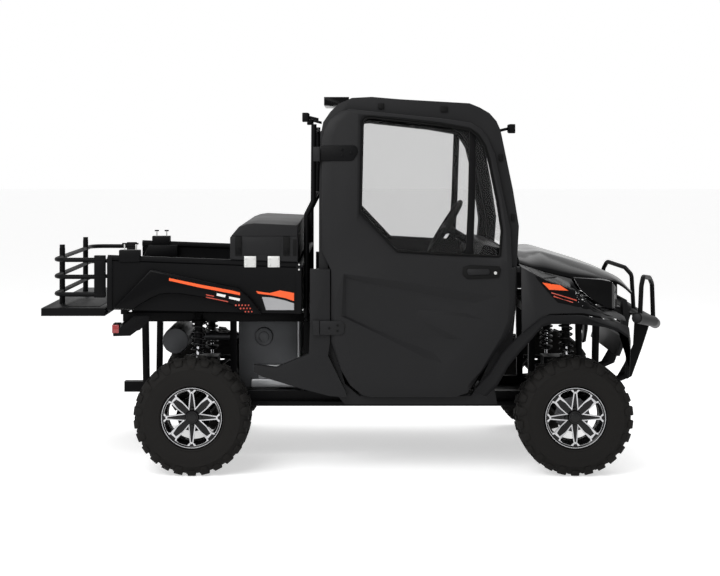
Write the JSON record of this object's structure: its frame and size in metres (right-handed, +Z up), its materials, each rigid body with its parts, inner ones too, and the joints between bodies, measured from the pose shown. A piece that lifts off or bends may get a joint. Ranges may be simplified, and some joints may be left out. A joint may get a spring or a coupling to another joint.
{
  "type": "side by side utility vehicle",
  "caption": "Two seat side by side utility vehicle with a hard cab, swinging doors, tilting cargo bed, lowered tailgate with bed extender, cross bed toolbox and front bumper guard.",
  "frame": {"origin": "on the ground, midway along the vehicle's length and on its centreline", "axes": "+X towards the front, +Y towards the vehicle's left, +Z up"},
  "size_m": [3.432, 1.58, 2.0429],
  "materials": {
    "charcoal_plastic": "matte moulded, fine grain",
    "gloss_black": "gloss",
    "powder_coat": "satin powder coat",
    "clear_sheet": "clear",
    "seat_vinyl": "grained vinyl",
    "bare_steel": "machined",
    "tyre_rubber": "matte rubber",
    "machined_alloy": "black with machined edges"
  },
  "bodies": {
    "body": {"cab_frame": "charcoal_plastic", "cab_tub": "powder_coat", "chassis_frame": "powder_coat", "dashboard": "powder_coat", "engine_block": "bare_steel", "flare_left": "powder_coat", "flare_right": "powder_coat", "front_fender_left": "charcoal_plastic", "front_fender_right": "charcoal_plastic", "front_guard": "powder_coat", "front_suspension": "powder_coat", "front_tower": "powder_coat", "grille": "powder_coat", "headlamp_left": "clear_sheet", "headlamp_right": "clear_sheet", "rear_fascia": "powder_coat", "rear_glass": "clear_sheet", "rear_panel": "charcoal_plastic", "rear_rack": "powder_coat", "rear_subframe": "powder_coat", "rear_suspension": "powder_coat", "roof": "gloss_black", "seat_left": "seat_vinyl", "seat_right": "seat_vinyl", "shock_front_left": "powder_coat", "shock_front_right": "powder_coat", "shock_rear_left": "powder_coat", "shock_rear_right": "powder_coat", "side_cover_left": "charcoal_plastic", "side_cover_right": "charcoal_plastic", "skid_plate": "powder_coat", "windscreen": "clear_sheet"},
    "wheel_front_left": {"tyre_front_left": "tyre_rubber", "rim_front_left": "machined_alloy"},
    "wheel_front_right": {"tyre_front_right": "tyre_rubber", "rim_front_right": "machined_alloy"},
    "wheel_rear_left": {"tyre_rear_left": "tyre_rubber", "rim_rear_left": "machined_alloy"},
    "wheel_rear_right": {"tyre_rear_right": "tyre_rubber", "rim_rear_right": "machined_alloy"},
    "knuckle_left": {"knuckle_left": "bare_steel"},
    "door_left": {"door_left": "charcoal_plastic", "door_glass_left": "clear_sheet"},
    "knuckle_right": {"knuckle_right": "bare_steel"},
    "door_right": {"door_right": "charcoal_plastic", "door_glass_right": "clear_sheet"},
    "steering_wheel": {"steering_wheel": "powder_coat"},
    "hood": {"hood": "gloss_black"},
    "bed": {"cargo_bed": "powder_coat", "bed_trim_left": "gloss_black", "bed_trim_right": "gloss_black", "toolbox": "charcoal_plastic"},
    "toolbox_lid": {"toolbox_lid": "charcoal_plastic"},
    "tailgate": {"tailgate": "powder_coat", "bed_extender": "powder_coat"}
  },
  "joints": [
    {"name": "steer_left", "type": "hinge", "parent": "body", "child": "knuckle_left", "pos_m": [1.166, 0.59, 0.313], "axis": [0, 0, 1], "range_deg": [-30, 30]},
    {"name": "steer_right", "type": "hinge", "parent": "body", "child": "knuckle_right", "pos_m": [1.166, -0.59, 0.313], "axis": [0, 0, 1], "range_deg": [-30, 30]},
    {"name": "steering_wheel_turn", "type": "hinge", "parent": "body", "child": "steering_wheel", "pos_m": [0.56569, 0.28, 1.26349], "axis": [-0.848, 0, 0.5299], "range_deg": [-255, 255]},
    {"name": "spin_front_left", "type": "hinge", "parent": "knuckle_left", "child": "wheel_front_left", "pos_m": [1.166, 0.66, 0.313], "axis": [0, 1, 0], "continuous": true},
    {"name": "spin_front_right", "type": "hinge", "parent": "knuckle_right", "child": "wheel_front_right", "pos_m": [1.166, -0.66, 0.313], "axis": [0, 1, 0], "continuous": true},
    {"name": "spin_rear_left", "type": "hinge", "parent": "body", "child": "wheel_rear_left", "pos_m": [-0.884, 0.66, 0.313], "axis": [0, 1, 0], "continuous": true},
    {"name": "spin_rear_right", "type": "hinge", "parent": "body", "child": "wheel_rear_right", "pos_m": [-0.884, -0.66, 0.313], "axis": [0, 1, 0], "continuous": true},
    {"name": "door_hinge_left", "type": "hinge", "parent": "body", "child": "door_left", "pos_m": [-0.206, 0.727, 0.79], "axis": [0, -0.0568, 0.9984], "range_deg": [0, 75]},
    {"name": "door_hinge_right", "type": "hinge", "parent": "body", "child": "door_right", "pos_m": [-0.206, -0.727, 0.79], "axis": [0, -0.0568, -0.9984], "range_deg": [0, 75]},
    {"name": "hood_hinge", "type": "hinge", "parent": "body", "child": "hood", "pos_m": [0.889, 0, 1.1835], "axis": [0, -1, 0], "range_deg": [0, 70]},
    {"name": "bed_tilt", "type": "hinge", "parent": "body", "child": "bed", "pos_m": [-1.3, 0, 0.845], "axis": [0, -1, 0], "range_deg": [0, 45]},
    {"name": "lid_hinge", "type": "hinge", "parent": "bed", "child": "toolbox_lid", "pos_m": [-0.685, 0, 1.27865], "axis": [0, -1, 0], "range_deg": [0, 85]},
    {"name": "tailgate_hinge", "type": "hinge", "parent": "bed", "child": "tailgate", "pos_m": [-1.362, 0, 0.9125], "axis": [0, 1, 0], "range_deg": [0, 90]}
  ],
  "couplings": [
    {"joint": "steer_right", "follows": "steer_left", "ratio": 1},
    {"joint": "steering_wheel_turn", "follows": "steer_left", "ratio": 8.5}
  ]
}
